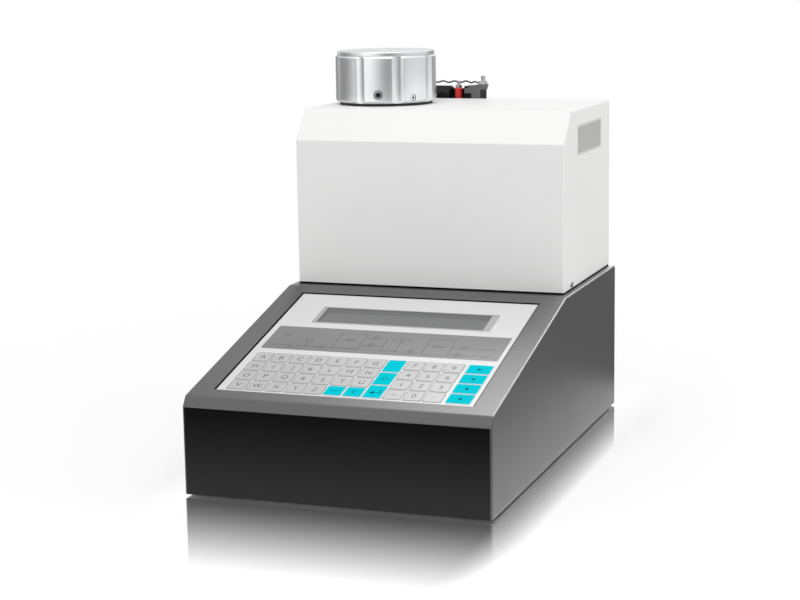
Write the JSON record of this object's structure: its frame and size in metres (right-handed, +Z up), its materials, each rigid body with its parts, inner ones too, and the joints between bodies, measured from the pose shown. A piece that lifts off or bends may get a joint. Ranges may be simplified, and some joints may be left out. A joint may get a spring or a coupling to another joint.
{
  "type": "gas pycnometer",
  "caption": "Bench gas pycnometer: sloping dark keypad console, white folded analysis cover, and a scalloped aluminium lid that turns and lifts off the sample chamber.",
  "frame": {"origin": "on the bench under the middle of the outline, at the lower faces of the rubber feet", "axes": "+Z up, +Y from the keypad to the rear panel, +X to the right of a user at the keypad"},
  "size_m": [0.31, 0.515, 0.41],
  "materials": {
    "dark_powder": "satin powder coat, dark grey",
    "white_powder": "satin powder coat, white",
    "zinc_sheet": "zinc plated sheet",
    "black_rubber": "matt black rubber",
    "screw_steel": "plated steel screws",
    "panel_white": "printed keypad film, off-white",
    "key_grey": "printed keypad film, light grey",
    "key_cyan": "printed keypad film, cyan",
    "board_grey": "light grey backing board",
    "window_clear": "clear acrylic",
    "display_dark": "unlit display glass",
    "grille_grey": "grey painted grille",
    "machined_aluminium": "fine turned aluminium",
    "cup_steel": "thin stainless steel",
    "coil_black": "black moulded plastic",
    "red_plastic": "red moulded plastic",
    "bracket_grey": "grey painted steel",
    "circuit_green": "green circuit board",
    "inlet_black": "black moulded plastic",
    "tube_steel": "drawn stainless tube"
  },
  "bodies": {
    "root": {"console_shell": "dark_powder", "base_plate": "zinc_sheet", "console_rear_panel": "dark_powder", "rubber_feet": "black_rubber", "housing_screws": "screw_steel", "keypad_panel": "panel_white", "keypad_board": "board_grey", "display_window": "window_clear", "display_module": "display_dark", "letter_keys": "key_grey", "top_cover": "white_powder", "cover_gasket": "black_rubber", "cover_rear_panel": "white_powder", "vent_grille": "grille_grey", "manifold_plate": "machined_aluminium", "chamber_body": "machined_aluminium", "sample_cup": "cup_steel", "neck_ring": "black_rubber", "reference_chamber": "machined_aluminium", "valve_block": "machined_aluminium", "solenoid_valves": "coil_black", "pressure_transducer": "screw_steel", "gas_tubes": "tube_steel", "vent_fitting": "tube_steel", "rear_bracket": "bracket_grey", "inlet_regulator": "coil_black", "regulator_cap": "red_plastic", "bracket_bolts": "screw_steel", "sensor_lead": "coil_black", "control_board": "circuit_green", "power_supply": "machined_aluminium", "mains_inlet": "inlet_black", "serial_port": "screw_steel"},
    "lid_inner": {"lid_plug": "machined_aluminium", "lid_o_ring": "black_rubber"},
    "lid_outer": {"lid_grip": "machined_aluminium", "lid_disc": "machined_aluminium", "lid_screws": "screw_steel"},
    "rocker": {"power_rocker": "inlet_black"},
    "key_7": {"key_7": "key_grey"},
    "key_8": {"key_8": "key_grey"},
    "key_9": {"key_9": "key_grey"},
    "key_4": {"key_4": "key_grey"},
    "key_5": {"key_5": "key_grey"},
    "key_6": {"key_6": "key_grey"},
    "key_1": {"key_1": "key_grey"},
    "key_2": {"key_2": "key_grey"},
    "key_3": {"key_3": "key_grey"},
    "key_sign": {"key_sign": "key_grey"},
    "key_0": {"key_0": "key_grey"},
    "key_point": {"key_point": "key_grey"},
    "key_page": {"key_page": "key_cyan"},
    "key_shift": {"key_shift": "key_cyan"},
    "key_enter": {"key_enter": "key_cyan"},
    "key_left": {"key_left": "key_cyan"},
    "key_right": {"key_right": "key_cyan"},
    "key_up": {"key_up": "key_cyan"},
    "key_down": {"key_down": "key_cyan"},
    "key_space": {"key_space": "key_cyan"},
    "key_clear": {"key_clear": "key_cyan"}
  },
  "joints": [
    {"name": "lid_lift", "type": "slide", "parent": "root", "child": "lid_inner", "axis": [0, 0, 1], "range_m": [0, 0.12]},
    {"name": "lid_turn", "type": "hinge", "parent": "lid_inner", "child": "lid_outer", "pos_m": [-0.086, 0.137, 0.38], "axis": [0, 0, -1], "range_deg": [0, 40]},
    {"name": "rocker_tilt", "type": "hinge", "parent": "root", "child": "rocker", "pos_m": [-0.095, 0.225, 0.0865], "axis": [1, 0, 0], "range_deg": [0, 14]},
    {"name": "key_7_press", "type": "slide", "parent": "root", "child": "key_7", "axis": [0, 0.2407, -0.9706], "range_m": [0, 0.00035], "stiffness_N_per_m": 2500},
    {"name": "key_8_press", "type": "slide", "parent": "root", "child": "key_8", "axis": [0, 0.2407, -0.9706], "range_m": [0, 0.00035], "stiffness_N_per_m": 2500},
    {"name": "key_9_press", "type": "slide", "parent": "root", "child": "key_9", "axis": [0, 0.2407, -0.9706], "range_m": [0, 0.00035], "stiffness_N_per_m": 2500},
    {"name": "key_4_press", "type": "slide", "parent": "root", "child": "key_4", "axis": [0, 0.2407, -0.9706], "range_m": [0, 0.00035], "stiffness_N_per_m": 2500},
    {"name": "key_5_press", "type": "slide", "parent": "root", "child": "key_5", "axis": [0, 0.2407, -0.9706], "range_m": [0, 0.00035], "stiffness_N_per_m": 2500},
    {"name": "key_6_press", "type": "slide", "parent": "root", "child": "key_6", "axis": [0, 0.2407, -0.9706], "range_m": [0, 0.00035], "stiffness_N_per_m": 2500},
    {"name": "key_1_press", "type": "slide", "parent": "root", "child": "key_1", "axis": [0, 0.2407, -0.9706], "range_m": [0, 0.00035], "stiffness_N_per_m": 2500},
    {"name": "key_2_press", "type": "slide", "parent": "root", "child": "key_2", "axis": [0, 0.2407, -0.9706], "range_m": [0, 0.00035], "stiffness_N_per_m": 2500},
    {"name": "key_3_press", "type": "slide", "parent": "root", "child": "key_3", "axis": [0, 0.2407, -0.9706], "range_m": [0, 0.00035], "stiffness_N_per_m": 2500},
    {"name": "key_sign_press", "type": "slide", "parent": "root", "child": "key_sign", "axis": [0, 0.2407, -0.9706], "range_m": [0, 0.00035], "stiffness_N_per_m": 2500},
    {"name": "key_0_press", "type": "slide", "parent": "root", "child": "key_0", "axis": [0, 0.2407, -0.9706], "range_m": [0, 0.00035], "stiffness_N_per_m": 2500},
    {"name": "key_point_press", "type": "slide", "parent": "root", "child": "key_point", "axis": [0, 0.2407, -0.9706], "range_m": [0, 0.00035], "stiffness_N_per_m": 2500},
    {"name": "key_page_press", "type": "slide", "parent": "root", "child": "key_page", "axis": [0, 0.2407, -0.9706], "range_m": [0, 0.00035], "stiffness_N_per_m": 2500},
    {"name": "key_shift_press", "type": "slide", "parent": "root", "child": "key_shift", "axis": [0, 0.2407, -0.9706], "range_m": [0, 0.00035], "stiffness_N_per_m": 2500},
    {"name": "key_enter_press", "type": "slide", "parent": "root", "child": "key_enter", "axis": [0, 0.2407, -0.9706], "range_m": [0, 0.00035], "stiffness_N_per_m": 2500},
    {"name": "key_left_press", "type": "slide", "parent": "root", "child": "key_left", "axis": [0, 0.2407, -0.9706], "range_m": [0, 0.00035], "stiffness_N_per_m": 2500},
    {"name": "key_right_press", "type": "slide", "parent": "root", "child": "key_right", "axis": [0, 0.2407, -0.9706], "range_m": [0, 0.00035], "stiffness_N_per_m": 2500},
    {"name": "key_up_press", "type": "slide", "parent": "root", "child": "key_up", "axis": [0, 0.2407, -0.9706], "range_m": [0, 0.00035], "stiffness_N_per_m": 2500},
    {"name": "key_down_press", "type": "slide", "parent": "root", "child": "key_down", "axis": [0, 0.2407, -0.9706], "range_m": [0, 0.00035], "stiffness_N_per_m": 2500},
    {"name": "key_space_press", "type": "slide", "parent": "root", "child": "key_space", "axis": [0, 0.2407, -0.9706], "range_m": [0, 0.00035], "stiffness_N_per_m": 2500},
    {"name": "key_clear_press", "type": "slide", "parent": "root", "child": "key_clear", "axis": [0, 0.2407, -0.9706], "range_m": [0, 0.00035], "stiffness_N_per_m": 2500}
  ]
}
